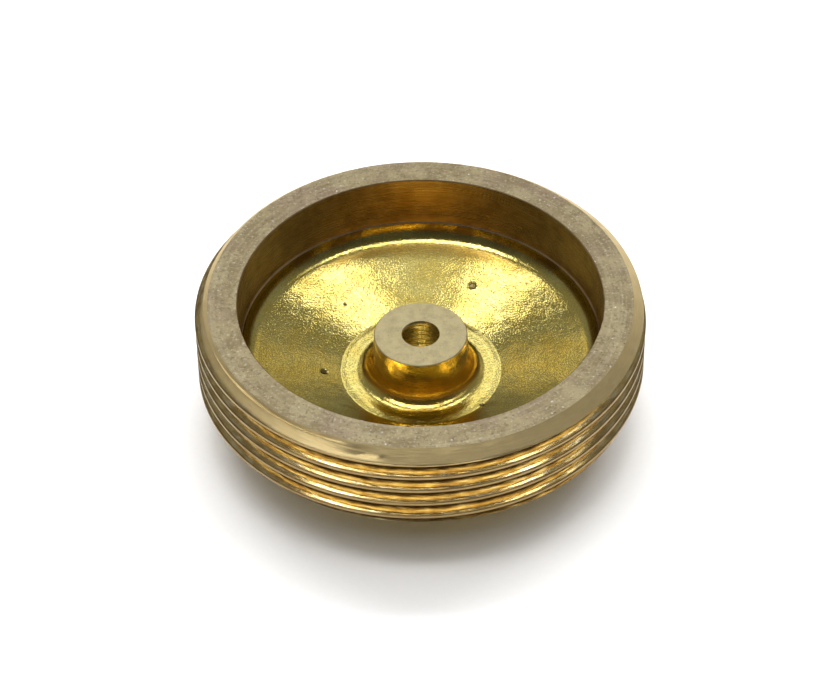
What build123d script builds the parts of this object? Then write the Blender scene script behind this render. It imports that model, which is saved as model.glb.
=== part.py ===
"""Brass screwed cap for a 2 inch pipe end, with a bleed screw under its middle boss.

The cap is one forging, turned on its rim face, mouth, outside thread and boss. It stands
with the open cup up: its hexagon end rests on Z = 0, its axis is Z and its rim face is the
highest plane. The bleed screw and its sealing washer close the bore from the hexagon end.
All sizes are in millimetres.
"""

from build123d import *
from math import ceil, radians, tan
import os

# ---- outside thread: G 2, parallel, right hand ----
thread_major_d = 59.614
thread_pitch = 25.4 / 11
thread_flank_deg = 27.5
thread_length = 11.5
thread_start_deg = -43.0
thread_overcut = 0.12

# ---- rim and mouth ----
rim_chamfer_w = 1.72
rim_chamfer_h = 1.4
rim_face_w = 3.96
mouth_depth = 7.4
mouth_step = 0.22

# ---- forged inside: a shallow dish that ends in a flat land round the boss ----
dish_corner_depth = 9.5
dish_corner_r = 2.4
dish_slope_deg = 14.3
land_d = 21.6
land_r = 0.8

# ---- boss ----
boss_top_d = 12.46
boss_root_d = 13.1
boss_root_r = 2.2
boss_h = 6.35
bore_d = 4.54

# ---- forged outside ----
dish_wall = 3.3
neck_relief = 0.15
lug_flats = 30.0
lug_corner_r = 1.2
lug_end_r = 0.5
lug_wall = 7.15

# ---- bleed screw and washer, sunk in the hexagon end ----
running_gap = 0.05
screw_length = 5.0
screw_point = 0.5
head_d = 8.5
head_h = 2.2
head_edge = 0.3
head_sink = 1.4
slot_w = 1.2
slot_h = 1.1
washer_d = 8.0
washer_t = 0.8
recess_gap = 0.5

# ---- worked out from the sizes above ----
thread_depth = 0.6403 * thread_pitch
thread_root_flat = thread_pitch / 6
major_r = thread_major_d / 2
root_r = major_r - thread_depth
neck_r = root_r - neck_relief
rim_outer_r = major_r - rim_chamfer_w
mouth_r = rim_outer_r - rim_face_w
wall_r = mouth_r - mouth_step
dish_fall = tan(radians(dish_slope_deg))
cup_depth = dish_corner_depth + (wall_r - land_d / 2) * dish_fall
rim_z = cup_depth + lug_wall
thread_end_depth = thread_length + major_r - neck_r
screw_r = bore_d / 2 - running_gap
head_top_z = head_sink + head_h
recess_z = head_top_z + washer_t
recess_r = head_d / 2 + recess_gap


def below_rim(radius, depth):
    """A point of a turned half section, measured down from the rim face."""
    return (radius, rim_z - depth)


# ---- cap body: a turned blank on a hexagon end, then the cup, the bore and the thread ----
with BuildPart() as cap_body:
    with BuildSketch(Plane.XZ):
        with BuildLine():
            Polyline(
                below_rim(0, 0),
                below_rim(rim_outer_r, 0),
                below_rim(major_r, rim_chamfer_h),
                below_rim(major_r, thread_length),
                below_rim(neck_r, thread_end_depth),
                below_rim(wall_r, dish_corner_depth + dish_wall),
                below_rim(land_d / 2, cup_depth + dish_wall),
                below_rim(0, cup_depth + dish_wall),
                close=True,
            )
        make_face()
    revolve(axis=Axis.Z)

    with BuildSketch():
        RegularPolygon(radius=lug_flats / 2, side_count=6, major_radius=False)
        fillet(vertices(), radius=lug_corner_r)
    extrude(amount=rim_z - dish_corner_depth - dish_wall)
    fillet(faces().sort_by(Axis.Z)[0].edges(), radius=lug_end_r)

    # The cup is cleared all round the boss, which stays below the rim face.
    with BuildSketch(Plane.XZ):
        with BuildLine():
            FilletPolyline(
                below_rim(mouth_r, 0),
                below_rim(mouth_r, mouth_depth),
                below_rim(wall_r, mouth_depth + mouth_step),
                below_rim(wall_r, dish_corner_depth),
                below_rim(land_d / 2, cup_depth),
                below_rim(boss_root_d / 2, cup_depth),
                below_rim(boss_top_d / 2, cup_depth - boss_h),
                below_rim(0, cup_depth - boss_h),
                below_rim(0, 0),
                radius=[0] * 3 + [dish_corner_r, land_r, boss_root_r] + [0] * 3,
                close=True,
            )
        make_face()
    revolve(axis=Axis.Z, mode=Mode.SUBTRACT)

    # Drilled through the boss, and sunk from the hexagon end for the screw head and washer.
    with Locations(Plane.XY.rotated((180, 0, 0))):
        CounterBoreHole(
            radius=bore_d / 2,
            counter_bore_radius=recess_r,
            counter_bore_depth=recess_z,
        )

    # The groove is cut turn by turn, from above the rim until it runs out under the band.
    flank_rise = tan(radians(thread_flank_deg))
    mouth_half = thread_root_flat / 2 + (thread_depth + thread_overcut) * flank_rise
    for turn in range(1 + ceil((thread_end_depth + mouth_half) / thread_pitch)):
        turn_z = rim_z + (1 - turn) * thread_pitch
        with BuildLine(Plane.XY.offset(turn_z).rotated((0, 0, thread_start_deg))) as one_turn:
            Helix(pitch=thread_pitch, height=thread_pitch, radius=root_r, direction=(0, 0, -1))
        start = one_turn.line @ 0
        outward = (start.X, start.Y, 0)
        with BuildSketch(Plane(origin=start, x_dir=outward, z_dir=one_turn.line % 0)):
            with BuildLine():
                Polyline(
                    (0, -thread_root_flat / 2),
                    (0, thread_root_flat / 2),
                    (thread_depth + thread_overcut, mouth_half),
                    (thread_depth + thread_overcut, -mouth_half),
                    close=True,
                )
            make_face()
        sweep(path=one_turn.line, is_frenet=True, mode=Mode.SUBTRACT)

# ---- vent washer: a flat sealing ring between the screw head and the recess floor ----
with BuildPart() as vent_washer:
    with BuildSketch(Plane.XY.offset(head_top_z)):
        Circle(washer_d / 2)
        Circle(screw_r + running_gap, mode=Mode.SUBTRACT)
    extrude(amount=washer_t)

# ---- vent screw: a slotted bleed screw, head down ----
with BuildPart() as vent_screw:
    with BuildSketch(Plane.XY.offset(head_sink)):
        Circle(head_d / 2)
    extrude(amount=head_h)
    chamfer(faces().sort_by(Axis.Z)[0].edges(), length=head_edge)
    with BuildSketch(Plane.XY.offset(head_top_z)):
        Circle(screw_r)
    extrude(amount=screw_length)
    chamfer(faces().sort_by(Axis.Z)[-1].edges(), length=screw_point)
    with BuildSketch(Plane.XY.offset(head_sink)):
        Rectangle(head_d, slot_w)
    extrude(amount=slot_h, mode=Mode.SUBTRACT)

cap_body.part.label = "cap_body"
vent_washer.part.label = "vent_washer"
vent_screw.part.label = "vent_screw"

os.makedirs("parts", exist_ok=True)
export_step(cap_body.part, "parts/cap_body.step")
export_step(vent_washer.part, "parts/vent_washer.step")
export_step(vent_screw.part, "parts/vent_screw.step")
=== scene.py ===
"""Looks of the screwed brass cap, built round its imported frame.

The sizes in each section are in millimetres, and a piece is brought to metres when it is finished.
"""

from math import cos, degrees, hypot, pi, radians, sin, sqrt, tan
import random

import bmesh
import bpy
from mathutils import Matrix, Vector, noise


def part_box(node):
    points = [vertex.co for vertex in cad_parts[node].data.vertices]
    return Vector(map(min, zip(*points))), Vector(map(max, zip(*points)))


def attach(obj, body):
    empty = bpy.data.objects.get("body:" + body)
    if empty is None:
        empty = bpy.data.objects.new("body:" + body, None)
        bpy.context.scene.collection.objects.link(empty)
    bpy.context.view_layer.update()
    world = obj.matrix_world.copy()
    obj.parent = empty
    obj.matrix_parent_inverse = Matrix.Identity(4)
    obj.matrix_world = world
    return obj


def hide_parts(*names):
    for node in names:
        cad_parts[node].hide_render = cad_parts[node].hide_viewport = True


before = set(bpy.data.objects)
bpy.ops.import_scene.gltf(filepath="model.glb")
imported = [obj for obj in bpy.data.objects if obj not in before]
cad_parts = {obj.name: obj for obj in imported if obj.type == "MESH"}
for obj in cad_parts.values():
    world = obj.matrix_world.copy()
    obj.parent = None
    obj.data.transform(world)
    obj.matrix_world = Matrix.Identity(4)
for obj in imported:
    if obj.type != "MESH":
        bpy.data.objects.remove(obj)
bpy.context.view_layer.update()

# ---------------------------------------------------------------------------------------------
# Cap body. One brass hot forging, bright dipped, so the cup and the hexagon end keep the skin
# of the dies. The rim face, mouth, boss top, bore and outside thread are then cut on a lathe.
# ---------------------------------------------------------------------------------------------
mm = 0.001
columns = 288
rim_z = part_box("cap_body")[1].z / mm
major_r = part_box("cap_body")[1].x / mm

thread_pitch = 25.4 / 11
thread_depth = 0.6403 * thread_pitch
thread_flank_deg = 27.5
thread_flat = thread_pitch / 6
thread_start_deg = -43
thread_length = 11.5
crest_round = 0.09
root_round = 0.16
root_r = major_r - thread_depth
neck_r = root_r - 0.15

rim_face_w = 3.96
rim_chamfer_w, rim_chamfer_h = 1.72, 1.4
rim_edge_round = 0.12
rim_outer_r = major_r - rim_chamfer_w
mouth_r = rim_outer_r - rim_face_w
mouth_depth, mouth_step = 7.4, 0.22
wall_r = mouth_r - mouth_step
wall_z = rim_z - mouth_depth - mouth_step

dish_slope_deg, dish_corner_depth, dish_corner_round = 14.3, 9.5, 2.4
dish_corner_z = rim_z - dish_corner_depth
land_r, land_round = 10.8, 0.8
land_z = dish_corner_z - (wall_r - land_r) * tan(radians(dish_slope_deg))
bead_r, bead_half, bead_h = 9.8, 1.1, 0.06
boss_root_r, boss_root_round = 6.55, 2.2
boss_top_r, boss_h, boss_edge = 6.23, 6.35, 0.1
boss_top_z = land_z + boss_h
boss_ring_r, bore_ring_r = 3.1, 2.9

dish_wall = 3.3
underside_z = dish_corner_z - dish_wall
lug_flats, lug_corner_r, lug_end_round = 30.0, 1.2, 0.5
lug_ring_r, recess_ring_r, lug_blend_r = 6.2, 5.6, 22.0

bore_r, tap_depth, tap_pitch = 2.27, 0.2, 0.8
tap_lead = 0.08
recess_r, recess_z, recess_edge = 4.75, 4.4, 0.2
bore_columns = 72

dent_count = 34
dent_reach = (0.5, 1.1)
dent_depth = (0.03, 0.11)
dent_slope = 1.2


def outline(corners, step):
    """Half section as (radius, height) points. A corner's third number rounds it, and runs are divided."""
    path = [Vector(corners[0][:2])]
    for before, corner, after in zip(corners, corners[1:], corners[2:]):
        here = Vector(corner[:2])
        if len(corner) < 3:
            path.append(here)
            continue
        back, ahead = (Vector(before[:2]) - here).normalized(), (Vector(after[:2]) - here).normalized()
        half = back.angle(ahead) / 2
        centre = here + (back + ahead).normalized() * corner[2] / sin(half)
        spread = pi - 2 * half
        start = here + back * corner[2] / tan(half) - centre
        side = 1 if back.cross(ahead) < 0 else -1
        bends = max(2, round(degrees(spread) / 14))
        path += [centre + Matrix.Rotation(side * spread * k / bends, 2) @ start for k in range(bends + 1)]
    path.append(Vector(corners[-1][:2]))
    points = [path[0]]
    for start, end in zip(path, path[1:]):
        parts = max(1, round((end - start).length / step))
        points += [start.lerp(end, (k + 1) / parts) for k in range(parts)]
    return points


def turn(piece, points, finish, around=columns, turns=1, pitch=0.0):
    """Turns a half section about the axis, climbing by the pitch, and returns the new corners."""
    ring = bmesh.new()
    section = [ring.verts.new((r, 0, z)) for r, z in points]
    edges = [ring.edges.new(pair) for pair in zip(section, section[1:])]
    bmesh.ops.spin(
        ring, geom=section + edges, axis=(0, 0, 1), cent=(0, 0, 0), dvec=(0, 0, pitch / around),
        angle=2 * pi, steps=around, use_merge=pitch == 0,
    )
    for face in ring.faces:
        face.material_index = finish
    first_turn = ring.verts[:] + ring.edges[:] + ring.faces[:]
    for above in range(1, turns):
        copy = bmesh.ops.duplicate(ring, geom=first_turn)["geom"]
        corners = [v for v in copy if isinstance(v, bmesh.types.BMVert)]
        bmesh.ops.translate(ring, verts=corners, vec=(0, 0, above * pitch))
    joined = bpy.data.meshes.new("ring")
    ring.to_mesh(joined)
    ring.free()
    before = len(piece.verts)
    piece.from_mesh(joined)
    bpy.data.meshes.remove(joined)
    piece.verts.ensure_lookup_table()
    return piece.verts[before:]


def thread_section(middle_z, major, depth, pitch, flat, flank_deg, crest, root, step):
    """One pitch of a thread, from crest to crest, round the groove at middle_z."""
    mouth = flat / 2 + depth * tan(radians(flank_deg))
    bottom = major - depth
    return outline([
        (major, middle_z - pitch / 2), (major, middle_z - mouth, crest), (bottom, middle_z - flat / 2, root),
        (bottom, middle_z + flat / 2, root), (major, middle_z + mouth, crest), (major, middle_z + pitch / 2),
    ], step)


def trim(corners, limit, low, high):
    """Trims a turned band to a height and to the reach that limit gives at each height."""
    for v in corners:
        v.co.z = min(max(v.co.z, low), high)
        radius = hypot(v.co.x, v.co.y)
        v.co.xy *= min(radius, limit(v.co.z)) / radius


def ease(value, low, high):
    """0 at low, 1 at high, and smooth between."""
    share = min(max((value - low) / (high - low), 0), 1)
    return share * share * (3 - 2 * share)


def finished(piece, name, finishes, body, node):
    """Makes a piece in metres with its faces outwards, and says what it rides on and stands for."""
    bmesh.ops.remove_doubles(piece, verts=piece.verts, dist=0.002)
    bmesh.ops.dissolve_degenerate(piece, edges=piece.edges, dist=0.001)
    bmesh.ops.recalc_face_normals(piece, faces=piece.faces)
    bmesh.ops.scale(piece, vec=(mm, mm, mm), verts=piece.verts)
    mesh = bpy.data.meshes.new(name)
    piece.to_mesh(mesh)
    piece.free()
    mesh.shade_smooth()
    mesh.set_sharp_from_angle(angle=radians(32))
    for finish in finishes:
        mesh.materials.append(finish)
    made = bpy.data.objects.new(name, mesh)
    bpy.context.scene.collection.objects.link(made)
    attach(made, body)
    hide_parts(node)
    return made


RIM, MOUTH, FORGED, BOSS_TOP, THREAD, OUTSIDE, BORE = range(7)
cap = bmesh.new()

# The outside thread runs off both ends of its band, so its turns are trimmed to the lathe work.
band_low = rim_z - thread_length - (major_r - neck_r)
first_turn = 7
start_z = rim_z - first_turn * thread_pitch - thread_pitch * thread_start_deg / 360
band = turn(
    cap,
    thread_section(start_z, major_r, thread_depth, thread_pitch, thread_flat, thread_flank_deg,
                   crest_round, root_round, 0.4),
    THREAD, turns=first_turn + 1, pitch=thread_pitch,
)


def band_reach(z):
    """The blank's radius at a height of the thread band: parallel, with a chamfer at both ends."""
    under_rim = rim_outer_r + (rim_z - z) * rim_chamfer_w / rim_chamfer_h
    return min(major_r, under_rim, neck_r + z - band_low)


trim(band, band_reach, band_low, rim_z)

# Clockwise from blank_deg the chamfer is left whole. The groove fades in from tool_in_deg, where the
# threading tool enters, and is full at full_groove_deg.
full_groove_deg, tool_in_deg, blank_deg = -118, -100, -30
tool_in_depth = 0.95
for v in band:
    angle, radius = degrees(Vector((v.co.x, v.co.y)).angle_signed((1, 0))), hypot(v.co.x, v.co.y)
    if v.co.z > rim_z - tool_in_depth and full_groove_deg < angle < blank_deg:
        v.co.xy *= 1 + (band_reach(v.co.z) / radius - 1) * ease(angle, full_groove_deg, tool_in_deg)

turn(cap, outline([(rim_outer_r, rim_z), (mouth_r + rim_edge_round, rim_z)], 0.45), RIM)
turn(cap, outline([
    (mouth_r + rim_edge_round, rim_z), (mouth_r, rim_z - rim_edge_round),
    (mouth_r, rim_z - mouth_depth, 0.1), (wall_r, wall_z),
], 1.2), MOUTH)
turn(cap, outline([
    (wall_r, wall_z), (wall_r, dish_corner_z, dish_corner_round), (land_r, land_z, land_round),
    (boss_root_r, land_z, boss_root_round), (boss_top_r, boss_top_z - boss_edge),
], 0.42), FORGED)
turn(cap, outline([
    (boss_top_r, boss_top_z - boss_edge), (boss_top_r - boss_edge, boss_top_z), (boss_ring_r, boss_top_z),
], 0.9), BOSS_TOP)


def underside(radius):
    """Height of the forged cone under the dish."""
    return underside_z + (max(radius, land_r) - wall_r) * tan(radians(dish_slope_deg))


def lug_reach(angle):
    """How far the hexagon reaches from the axis, with its rounded corners on the X axis."""
    off_flat = abs(degrees(angle) % 60 - 30)
    inner = lug_flats / 2 - lug_corner_r
    if tan(radians(off_flat)) < inner * tan(pi / 6) / (lug_flats / 2):
        return lug_flats / 2 / cos(radians(off_flat))
    to_corner, apart = radians(30 - off_flat), inner / cos(pi / 6)
    return apart * cos(to_corner) + sqrt(lug_corner_r ** 2 - (apart * sin(to_corner)) ** 2)


flat_r = lug_flats / 2
outside = turn(cap, outline([
    (neck_r, band_low), (wall_r, underside_z, 1.2), (flat_r, underside(flat_r), 0.8),
    (flat_r, 0, lug_end_round), (lug_ring_r, 0),
], 0.7), OUTSIDE)
for v in outside:
    radius = hypot(v.co.x, v.co.y)
    hexagon = lug_reach(Vector((v.co.x, v.co.y)).angle_signed((1, 0))) / flat_r
    share = ease(radius, 6.5, 12) * (1 - ease(radius, flat_r + 1, lug_blend_r))
    reach = radius * (1 + (hexagon - 1) * share)
    v.co.xy *= reach / radius
    v.co.z += (underside(reach) - underside(radius)) * ease(v.co.z, lug_end_round, underside(flat_r) - 0.3)

# The bore is tapped right through, and sunk from the hexagon end for the screw's head.
tap_major = bore_r + tap_depth
tap_turns = int((boss_top_z - recess_z) / tap_pitch) + 2
tap_section = outline([
    (tap_major, recess_z - tap_pitch), (bore_r, recess_z - tap_pitch / 2, 0.05), (tap_major, recess_z),
], 0.2)
tapped = turn(cap, tap_section, BORE, around=bore_columns, turns=tap_turns, pitch=tap_pitch)
trim(tapped, lambda z: 9, recess_z, boss_top_z)
for v in tapped:
    radius = hypot(v.co.x, v.co.y)
    countersunk = tap_major + tap_lead - min(boss_top_z - v.co.z, v.co.z - recess_z)
    v.co.xy *= max(radius, countersunk) / radius
turn(cap, outline([(tap_major + tap_lead, boss_top_z), (bore_ring_r, boss_top_z)], 0.4),
     BOSS_TOP, around=bore_columns)
turn(cap, outline([
    (tap_major + tap_lead, recess_z), (recess_r, recess_z, 0.15), (recess_r, recess_edge),
    (recess_r + recess_edge, 0), (recess_ring_r, 0),
], 0.8), BORE, around=bore_columns)

# Triangles join the ends' finer and coarser rings, which have other column counts.
bmesh.ops.remove_doubles(cap, verts=cap.verts, dist=0.002)
for height, finish in ((boss_top_z, BOSS_TOP), (0, OUTSIDE)):
    open_edges = [e for e in cap.edges if e.is_boundary and abs(e.verts[0].co.z - height) < 0.01
                  and hypot(*e.verts[0].co.xy) < 8]
    filled = bmesh.ops.triangle_fill(cap, edges=open_edges, use_beauty=True, normal=(0, 0, 1))["geom"]
    for face in (part for part in filled if isinstance(part, bmesh.types.BMFace)):
        face.material_index = finish

# The dies leave a slightly uneven skin and a low bead on the land, and handling leaves small dents
# on the turned edges.
for v in cap.verts:
    radius = hypot(v.co.x, v.co.y)
    if land_z - 0.1 < v.co.z < dish_corner_z + 1 and land_r - 2 < radius < wall_r - 0.3:
        skin = noise.noise(v.co * 0.33) * 0.030 + noise.noise(v.co * 0.8 + Vector((9, 0, 0))) * 0.014
        v.co.z += skin * ease(radius, land_r - 2, land_r)
    if abs(v.co.z - land_z) < 0.6 and abs(radius - bead_r) < bead_half:
        v.co.z += bead_h * (1 - ((radius - bead_r) / bead_half) ** 2) ** 2
dents = random.Random(11)
near_rim = [v for v in cap.verts if v.co.z > rim_z - 2 and hypot(*v.co.xy) > mouth_r - 0.5]
for _ in range(dent_count):
    angle, outer_edge = dents.uniform(0, 2 * pi), dents.random() < 0.65
    radius = rim_outer_r if outer_edge else mouth_r
    middle = Vector((radius * cos(angle), radius * sin(angle), rim_z))
    side = -1 if outer_edge else 1
    inwards = Vector((side * cos(angle), side * sin(angle), -dent_slope))
    reach, depth = dents.uniform(*dent_reach), dents.uniform(*dent_depth)
    for v in near_rim:
        share = (v.co - middle).length / reach
        if share < 1:
            v.co += inwards.normalized() * depth * (1 - share * share) ** 2


class Shade:
    """One socket of a finish. Arithmetic on it adds Math nodes, with plain numbers on either side."""

    def __init__(self, finish, socket):
        self.finish, self.socket = finish, socket

    def sum(self, operation, first, second):
        return self.finish.node("ShaderNodeMath", {"operation": operation}, {0: first, 1: second})

    def __add__(self, other):
        return self.sum("ADD", self, other)

    def __radd__(self, other):
        return self.sum("ADD", other, self)

    def __sub__(self, other):
        return self.sum("SUBTRACT", self, other)

    def __rsub__(self, other):
        return self.sum("SUBTRACT", other, self)

    def __mul__(self, other):
        return self.sum("MULTIPLY", self, other)

    def __rmul__(self, other):
        return self.sum("MULTIPLY", other, self)

    def __truediv__(self, other):
        return self.sum("DIVIDE", self, other)


class Finish:
    """The nodes of one material. Places are in millimetres, from the piece's own coordinates."""

    def __init__(self, name):
        self.material = bpy.data.materials.new(name)
        self.material.use_nodes = True
        self.tree = self.material.node_tree
        self.tree.nodes.clear()
        metres = self.node("ShaderNodeTexCoord", output="Object")
        self.place = self.scaled(metres, 1 / mm)
        flat = self.vector("MULTIPLY", self.place, (1, 1, 0))
        self.radius = self.node("ShaderNodeVectorMath", {"operation": "LENGTH"}, {0: flat}, output="Value")
        self.direction = self.vector("NORMALIZE", flat)
        self.height = self.node("ShaderNodeSeparateXYZ", {}, {0: self.place}, output="Z")

    def node(self, kind, settings={}, inputs={}, output=0):
        """Adds one node: its settings first, then the values or links of its sockets."""
        made = self.tree.nodes.new(kind)
        for name, value in settings.items():
            setattr(made, name, value)
        for name, value in inputs.items():
            if isinstance(value, Shade):
                self.tree.links.new(value.socket, made.inputs[name])
            else:
                made.inputs[name].default_value = value
        return Shade(self, made.outputs[output]) if made.outputs else made

    def vector(self, operation, first, second=(0, 0, 0)):
        """One Vector Math node."""
        return self.node("ShaderNodeVectorMath", {"operation": operation}, {0: first, 1: second})

    def scaled(self, place, by):
        """A place or direction made longer or shorter."""
        return self.node("ShaderNodeVectorMath", {"operation": "SCALE"}, {0: place, "Scale": by})

    def grain(self, size, place=None, detail=2.0, rough=0.5):
        """Soft random grain of about the given size, from 0 to 1."""
        return self.node("ShaderNodeTexNoise", {}, {
            "Vector": place or self.place, "Scale": 1 / size, "Detail": detail, "Roughness": rough})

    def tool_lines(self, across, spacing, wander=0.7, detail=3.0):
        """Fine lines that run round the axis, as a lathe tool leaves them."""
        step = self.node("ShaderNodeCombineXYZ", {}, {"Z": across / spacing})
        place = self.vector("ADD", self.scaled(self.direction, wander), step)
        return self.grain(1.0, place, detail)

    def spots(self, size, reach):
        """Round spots about one cell apart: 1 at their middle and 0 past the reach."""
        away = self.node("ShaderNodeTexVoronoi", {}, {"Vector": self.place, "Scale": 1 / size})
        return self.fade(away, reach, 0.0)

    def fade(self, value, low, high):
        """0 at low, 1 at high, and smooth between."""
        return self.node("ShaderNodeMapRange", {"interpolation_type": "SMOOTHSTEP"},
                         {"Value": value, "From Min": low, "From Max": high})

    def blend(self, amount, first, second):
        """Mixes two colours."""
        return self.node("ShaderNodeMix", {"data_type": "RGBA"}, {0: amount, 6: first, 7: second}, output=2)

    def near(self, x, y, reach):
        """A soft spot about one place in plan."""
        flat = self.vector("MULTIPLY", self.place, (1, 1, 0))
        away = self.node("ShaderNodeVectorMath", {"operation": "DISTANCE"}, {0: flat, 1: (x, y, 0)},
                         output="Value")
        return self.fade(away, reach, reach * 0.4)

    def metal(self, colour, roughness, relief, metallic=1.0):
        """Closes the finish, a metal unless told otherwise, with its relief given in millimetres."""
        normal = self.node("ShaderNodeBump", {}, {"Strength": 1.0, "Distance": mm, "Height": relief})
        skin = self.node("ShaderNodeBsdfPrincipled", {}, {
            "Base Color": colour, "Roughness": roughness, "Normal": normal, "Metallic": metallic})
        self.node("ShaderNodeOutputMaterial", {}, {"Surface": skin})
        return self.material


def turned_rim():
    """Rim face: turned, handled till dull and mottled, pink in places; nicked spots painted white as glints.
    """
    f = Finish("brass_rim_face")
    lines = f.tool_lines(f.radius, 0.10)
    coarse = f.tool_lines(f.radius, 0.5, wander=1.4)
    clouds = f.grain(3.5, detail=5.0, rough=0.65)
    pink = f.fade(f.grain(9.0, detail=2.0), 0.48, 0.62)
    worn = f.fade(f.grain(0.40, detail=5.0, rough=0.7), 0.54, 0.66)
    # Nicked spots, smoother than the face; their near-white colour below is a painted glint.
    nick_glints = f.spots(1.1, 0.20) * f.fade(f.grain(2.6), 0.46, 0.54)
    tint = f.blend(f.fade(clouds, 0.36, 0.64), (0.76, 0.64, 0.38, 1), (0.52, 0.41, 0.23, 1))
    tint = f.blend(pink * 0.4, tint, (0.56, 0.39, 0.31, 1))
    tint = f.blend(f.fade(coarse, 0.4, 0.75) * 0.45, tint, (0.86, 0.77, 0.51, 1))
    grime = f.fade(f.grain(0.55, detail=5.0, rough=0.7), 0.47, 0.36)
    tint = f.blend(grime * 0.55, tint, (0.34, 0.26, 0.15, 1))
    tint = f.blend(worn * 0.7, tint, (1.0, 0.94, 0.74, 1))
    # Painted glint: the nicked spots are tinted near white.
    tint = f.blend(nick_glints, tint, (1.0, 1.0, 0.95, 1))
    specks = f.spots(0.9, 0.16)
    tint = f.blend(specks * 0.7, tint, (0.17, 0.12, 0.07, 1))
    return f.metal(tint, 0.40 + lines * 0.12 - worn * 0.10 - nick_glints * 0.25,
                   lines * 0.006 + coarse * 0.014 + clouds * 0.03 - specks * 0.03)


def turned_mouth():
    """Mouth wall: bored smooth, with close tool lines and a brown tarnish."""
    f = Finish("brass_mouth_wall")
    lines = f.tool_lines(f.height, 0.12)
    clouds = f.grain(2.5, detail=4.0)
    tint = f.blend(f.fade(clouds, 0.35, 0.7), (0.76, 0.53, 0.28, 1), (0.58, 0.39, 0.20, 1))
    return f.metal(tint, 0.22 + lines * 0.12, lines * 0.006 + clouds * 0.02)


def bright_forging():
    """Cup and boss side: bright dipped forging, a fine hammered skin with pits, tarnished on the wall."""
    f = Finish("brass_bright_forging")
    hammer = f.grain(0.26, detail=1.0)
    grit = f.grain(0.13, detail=1.0)
    hills = f.grain(1.6, detail=2.0)
    pits = f.spots(1.7, 0.07) * f.fade(f.grain(5.0), 0.45, 0.6)
    clouds = f.grain(4.0, detail=4.0)
    sparkle = f.fade(f.grain(0.22, detail=3.0, rough=0.7), 0.40, 0.62)
    tint = f.blend(f.fade(clouds, 0.3, 0.7), (0.94, 0.81, 0.27, 1), (0.92, 0.73, 0.19, 1))
    tint = f.blend(sparkle * 0.45, tint, (0.55, 0.43, 0.09, 1))
    # Painted reflection: the forging turns orange toward the boss root, standing for brass mirrored in brass
    # there.
    painted_root_reflection = f.fade(f.radius, boss_root_r + 1.6, boss_root_r + 0.4)
    tint = f.blend(painted_root_reflection, tint, (0.92, 0.58, 0.09, 1))
    for x, y, reach in ((7.2, 15.0, 0.75), (-13.0, -1.0, 0.65), (8.1, -7.2, 0.4), (-10.3, 11.7, 0.3)):
        pits = pits + f.near(x, y, reach)
    tint = f.blend(pits * 0.9, tint, (0.12, 0.09, 0.04, 1))
    on_wall = f.fade(f.height, dish_corner_z - 0.2, dish_corner_z + 1.2)
    tarnish = f.fade(f.grain(5.0, detail=3.0), 0.46, 0.60) * on_wall
    tint = f.blend(tarnish * 0.85, tint, (0.22, 0.12, 0.04, 1))
    return f.metal(tint, 0.07 + clouds * 0.08 + tarnish * 0.25,
                   hammer * 0.017 + grit * 0.010 + hills * 0.018 - pits * 0.05)


def turned_boss():
    """Boss top: faced off, with fine rings and a scatter of dark specks."""
    f = Finish("brass_boss_top")
    lines = f.tool_lines(f.radius, 0.07)
    clouds = f.grain(1.5, detail=4.0)
    specks = f.spots(0.55, 0.17) * f.fade(f.grain(1.4), 0.42, 0.56)
    bright = f.fade(f.grain(0.22, detail=3.0), 0.52, 0.68)
    tint = f.blend(f.fade(clouds, 0.35, 0.7), (0.95, 0.82, 0.46, 1), (0.80, 0.68, 0.38, 1))
    tint = f.blend(bright * 0.5, tint, (1.0, 0.95, 0.70, 1))
    tint = f.blend(specks * 0.85, tint, (0.16, 0.11, 0.06, 1))
    return f.metal(tint, 0.42 + lines * 0.12, lines * 0.004 + clouds * 0.01 - specks * 0.03)


def cut_thread():
    """Thread: chased, with painted highlight streaks, brown dirt and painted shade in roots, painted shade on
    crests, a paler chamfer.
    """
    f = Finish("brass_thread")
    lines = f.tool_lines(f.height, 0.09, wander=1.5)
    clouds = f.grain(2.2, detail=5.0, rough=0.6)
    streaks = f.tool_lines(f.height, 0.16, wander=14.0)
    chamfer = f.fade(f.height, rim_z - 1.55, rim_z - 1.25)
    # Roots: partly brown dirt, partly painted shade under each crest above.
    dirt = f.fade(f.radius + streaks * 0.6, root_r + 1.15, root_r + 0.65) * (1 - chamfer)
    # Painted shade: the crests are darkened where they would mirror the bright paper.
    crest = f.fade(f.radius, major_r - 0.24, major_r - 0.10) * (1 - chamfer)
    tint = f.blend(f.fade(clouds, 0.35, 0.68), (0.88, 0.65, 0.25, 1), (0.58, 0.40, 0.15, 1))
    # Painted highlight: pale streaks along the thread stand for light caught on the flanks.
    tint = f.blend(f.fade(streaks, 0.50, 0.64) * 0.6, tint, (1.0, 0.90, 0.58, 1))
    tint = f.blend(dirt * 0.9, tint, (0.09, 0.055, 0.025, 1))
    tint = f.blend(crest * 0.8, tint, (0.22, 0.14, 0.06, 1))
    tint = f.blend(chamfer * 0.8, tint, (0.92, 0.73, 0.37, 1))
    return f.metal(tint, 0.11 + lines * 0.08 + dirt * 0.4 + crest * 0.2 + chamfer * 0.34,
                   lines * 0.008 + streaks * 0.018 + clouds * 0.02)


def dull_forging():
    """Underside and hexagon: a dulled forging skin, clouded and finely pitted."""
    f = Finish("brass_dull_forging")
    hammer = f.grain(0.45, detail=3.0)
    clouds = f.grain(3.5, detail=5.0, rough=0.6)
    pits = f.spots(1.3, 0.09)
    tint = f.blend(f.fade(clouds, 0.35, 0.7), (0.66, 0.53, 0.25, 1), (0.48, 0.37, 0.18, 1))
    tint = f.blend(pits * 0.8, tint, (0.12, 0.08, 0.04, 1))
    return f.metal(tint, 0.36 + clouds * 0.16, hammer * 0.03 + clouds * 0.06 - pits * 0.05)


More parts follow.
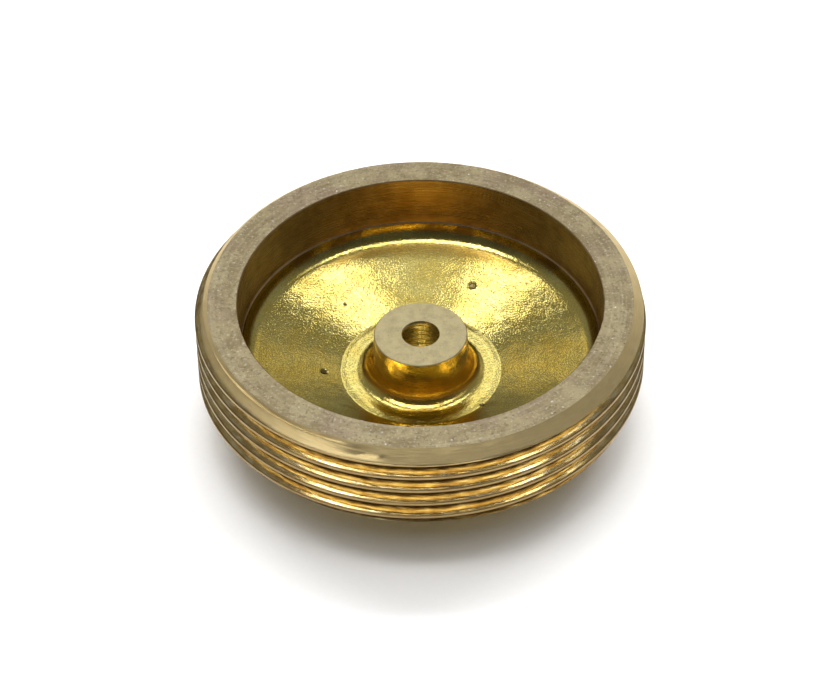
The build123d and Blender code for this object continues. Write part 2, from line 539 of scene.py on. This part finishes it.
def drilled_bore():
    """Bore and recess: drilled and tapped, bright, with soft patches of dirt."""
    f = Finish("brass_bore")
    lines = f.tool_lines(f.height, 0.1)
    dirt = f.fade(f.grain(0.6, detail=3.0), 0.5, 0.75)
    tint = f.blend(dirt * 0.4, (1.0, 0.84, 0.36, 1), (0.40, 0.26, 0.10, 1))
    return f.metal(tint, 0.12 + lines * 0.12, lines * 0.006)


finished(
    cap, "cap_skin",
    [turned_rim(), turned_mouth(), bright_forging(), turned_boss(),
     cut_thread(), dull_forging(), drilled_bore()],
    body="cap", node="cap_body",
)

# ---------------------------------------------------------------------------------------------
# Vent washer. A ring punched from red vulcanised fibre sheet. It lies loose between the screw's
# head and the recess floor, and seals when the screw is tight.
# ---------------------------------------------------------------------------------------------
washer_low, washer_high = (corner.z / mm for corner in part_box("vent_washer"))
washer_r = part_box("vent_washer")[1].x / mm
washer_hole_r = 2.27
washer_edge = 0.12
washer_section = outline([
    ((washer_r + washer_hole_r) / 2, washer_low), (washer_r, washer_low, washer_edge),
    (washer_r, washer_high, washer_edge), (washer_hole_r, washer_high, washer_edge),
    (washer_hole_r, washer_low, washer_edge), ((washer_r + washer_hole_r) / 2, washer_low),
], 0.4)
washer = bmesh.new()
turn(washer, washer_section, 0, around=96)


def punched_fibre():
    """Matt red-brown fibre with short pale threads."""
    f = Finish("fibre_washer")
    stretched = f.vector("MULTIPLY", f.place, (1.0, 5.0, 5.0))
    threads = f.fade(f.grain(0.6, stretched, detail=4.0), 0.5, 0.7)
    clouds = f.grain(1.2, detail=3.0)
    tint = f.blend(f.fade(clouds, 0.3, 0.7), (0.26, 0.055, 0.03, 1), (0.17, 0.035, 0.022, 1))
    tint = f.blend(threads * 0.5, tint, (0.42, 0.16, 0.09, 1))
    return f.metal(tint, 0.72 + threads * 0.1, threads * 0.012 + clouds * 0.01, metallic=0.0)


finished(washer, "washer_ring", [punched_fibre()], body="washer", node="vent_washer")

# ---------------------------------------------------------------------------------------------
# Vent screw. A slotted cheese-head bleed screw, turned from brass bar, threaded and slotted with
# a saw. It sits head down in the hexagon end, and its shank screws up into the boss.
# ---------------------------------------------------------------------------------------------
head_low, tip_z = (corner.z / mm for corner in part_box("vent_screw"))
head_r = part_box("vent_screw")[1].x / mm
head_high = washer_low
head_chamfer = 0.3
slot_half, slot_floor = 0.6, head_low + 1.1
shank_r, shank_depth, shank_pitch = 2.22, 0.36, 0.8
shank_low, shank_high = head_high + 0.25, tip_z - 0.5

screw = bmesh.new()
turn(screw, outline([
    (0, head_low), (head_r - head_chamfer, head_low), (head_r, head_low + head_chamfer), (head_r, slot_floor),
    (head_r, head_high - 0.1), (head_r - 0.1, head_high), (shank_r - shank_depth, head_high),
    (shank_r - shank_depth, shank_low),
], 0.9), 0, around=96)
shank_turns = int((shank_high - shank_low) / shank_pitch) + 2
shank = turn(screw, outline([
    (shank_r, shank_low - shank_pitch), (shank_r - shank_depth, shank_low - shank_pitch / 2, 0.05),
    (shank_r, shank_low),
], 0.25), 0, around=96, turns=shank_turns, pitch=shank_pitch)
trim(shank, lambda z: shank_r - shank_depth + min(z - shank_low, shank_high - z), shank_low, shank_high)
turn(screw, outline([
    (shank_r - shank_depth, shank_high), (shank_r - shank_depth - 0.25, tip_z), (0, tip_z),
], 0.8), 0, around=96)
bmesh.ops.remove_doubles(screw, verts=screw.verts, dist=0.002)

# The saw cut: the head is split along both sides of the slot, emptied between, and walled again.
for side in (-1, 1):
    head = [e for kind in (screw.verts, screw.edges, screw.faces) for e in kind]
    bmesh.ops.bisect_plane(screw, geom=head, dist=1e-4, plane_co=(0, side * slot_half, 0), plane_no=(0, 1, 0))
middles = ((f, f.calc_center_median()) for f in screw.faces)
cut = [f for f, middle in middles if abs(middle.y) < slot_half and middle.z < slot_floor]
bmesh.ops.delete(screw, geom=cut, context="FACES")
edge_runs = []
for side in (-1, 1):
    run = [e for e in screw.edges
           if e.is_boundary and all(abs(v.co.y - side * slot_half) < 1e-3 for v in e.verts)]
    ends = [v for e in run for v in e.verts if abs(v.co.z - slot_floor) < 1e-3]
    top = screw.edges.new((min(ends, key=lambda v: v.co.x), max(ends, key=lambda v: v.co.x)))
    bmesh.ops.contextual_create(screw, geom=run + [top])
    edge_runs.append(top)
still_open = [e for e in screw.edges if e.is_boundary and e not in edge_runs]
bmesh.ops.contextual_create(screw, geom=edge_runs + still_open)


def turned_screw():
    """Bright turned brass with tool rings and softly clouded colour."""
    f = Finish("brass_screw")
    lines = f.tool_lines(f.radius, 0.09)
    clouds = f.grain(1.3, detail=4.0)
    tint = f.blend(f.fade(clouds, 0.35, 0.7), (0.84, 0.69, 0.31, 1), (0.68, 0.54, 0.25, 1))
    return f.metal(tint, 0.28 + lines * 0.14, lines * 0.006 + clouds * 0.01)


finished(screw, "screw_turned", [turned_screw()], body="screw", node="vent_screw")

# ---------------------------------------------------------------------------------------------
# Studio. A white paper floor in a pale room. Soft panels stand above, behind and to the right of the
# cap, a small one to each side lights its boss, and two yellowish ones stand farther behind.
# ---------------------------------------------------------------------------------------------
paper = bmesh.new()
bmesh.ops.create_grid(paper, x_segments=8, y_segments=8, size=1500)
bmesh.ops.scale(paper, vec=(mm, mm, mm), verts=paper.verts)
floor_mesh = bpy.data.meshes.new("floor")
paper.to_mesh(floor_mesh)
paper.free()
paper_finish = Finish("white_paper")
fibres = paper_finish.grain(0.8, detail=4.0)
paper_tint = paper_finish.blend(fibres, (0.90, 0.90, 0.90, 1), (0.86, 0.86, 0.86, 1))
floor_mesh.materials.append(paper_finish.metal(paper_tint, 0.9, fibres * 0.01, metallic=0.0))
floor = bpy.data.objects.new("floor", floor_mesh)
bpy.context.scene.collection.objects.link(floor)


def panel(name, place, width, depth, brightness, colour=(1, 1, 1), gloss=True):
    """A flat soft light above the cap, facing the floor under it; brightness is the panel's own."""
    light = bpy.data.lights.new(name, "AREA")
    light.shape, light.size, light.size_y = "RECTANGLE", width, depth
    light.energy = brightness * pi * width * depth
    light.color = colour
    lamp = bpy.data.objects.new(name, light)
    lamp.location = place
    lamp.visible_glossy = gloss
    bpy.context.scene.collection.objects.link(lamp)


# The brass mirrors every panel except the two named cast, which mostly light the paper.
for name, place, width, depth, seen in (
    ("back_right", (0.24, 0.47, 1.0), 0.15, 0.18, 5.0),
    ("back_left", (-0.24, 0.47, 1.0), 0.15, 0.18, 5.0),
    ("back_middle", (0.0, 0.38, 1.0), 0.22, 0.26, 0.6),
    ("above", (-0.16, -0.075, 1.0), 0.72, 0.25, 4.2),
    ("right", (0.65, 0.125, 1.0), 0.14, 0.12, 2.2),
    ("window", (0.0, 1.14, 1.0), 0.40, 0.50, 1.2),
    ("flank_left", (-0.40, -0.07, 0.98), 0.16, 0.16, 3.0),
    ("flank_right", (0.41, -0.07, 0.98), 0.16, 0.16, 6.0),
):
    panel("panel_" + name, place, width, depth, seen)
yellowish = (1.0, 0.82, 0.45)
panel("panel_far_right", (0.58, 1.25, 1.0), 0.34, 0.30, 0.65, colour=yellowish)
panel("panel_far_left", (-0.58, 1.25, 1.0), 0.34, 0.30, 0.9, colour=yellowish)
panel("cast_back", (0.10, 0.55, 1.0), 1.50, 0.30, 10.0, gloss=False)
panel("cast_wide", (0.0, 0.0, 1.3), 2.4, 2.0, 1.35, gloss=False)

# The room is pale behind the cap and dimmer in front of it, where the viewer stands.
room = bpy.data.worlds.new("room")
room.use_nodes = True
wall_nodes = room.node_tree.nodes
sky = wall_nodes.new("ShaderNodeTexCoord")
split = wall_nodes.new("ShaderNodeSeparateXYZ")
shade = wall_nodes.new("ShaderNodeMapRange")
shade.interpolation_type = "SMOOTHSTEP"
for socket, value in (("From Min", -0.6), ("From Max", 0.5), ("To Min", 0.06), ("To Max", 0.20)):
    shade.inputs[socket].default_value = value
room.node_tree.links.new(sky.outputs["Generated"], split.inputs[0])
room.node_tree.links.new(split.outputs["Y"], shade.inputs["Value"])
room.node_tree.links.new(shade.outputs[0], wall_nodes["Background"].inputs["Strength"])
wall_nodes["Background"].inputs["Color"].default_value = (1.0, 1.0, 1.0, 1)
bpy.context.scene.world = room
bpy.context.scene.view_settings.view_transform = "Standard"

# The camera stands in front of the cap and looks down at its rim.
rise, away = radians(42.0), 0.3951
down, yaw, roll = radians(43.0), radians(-0.112), radians(-0.564)
look = Vector((sin(yaw) * cos(down), cos(yaw) * cos(down), -sin(down)))
right = look.cross((0, 0, 1)).normalized()
up = right.cross(look)
across = right * cos(roll) + up * sin(roll)
upright = up * cos(roll) - right * sin(roll)
camera = bpy.data.objects.new("camera", bpy.data.cameras.new("camera"))
camera.data.lens, camera.data.sensor_width = 129.65, 36
camera.data.clip_start, camera.data.clip_end = 0.01, 10
placed = Matrix((across, upright, -look)).transposed().to_4x4()
placed.translation = (0, -away * cos(rise), rim_z * mm + away * sin(rise))
camera.matrix_world = placed
bpy.context.scene.collection.objects.link(camera)
bpy.context.scene.camera = camera
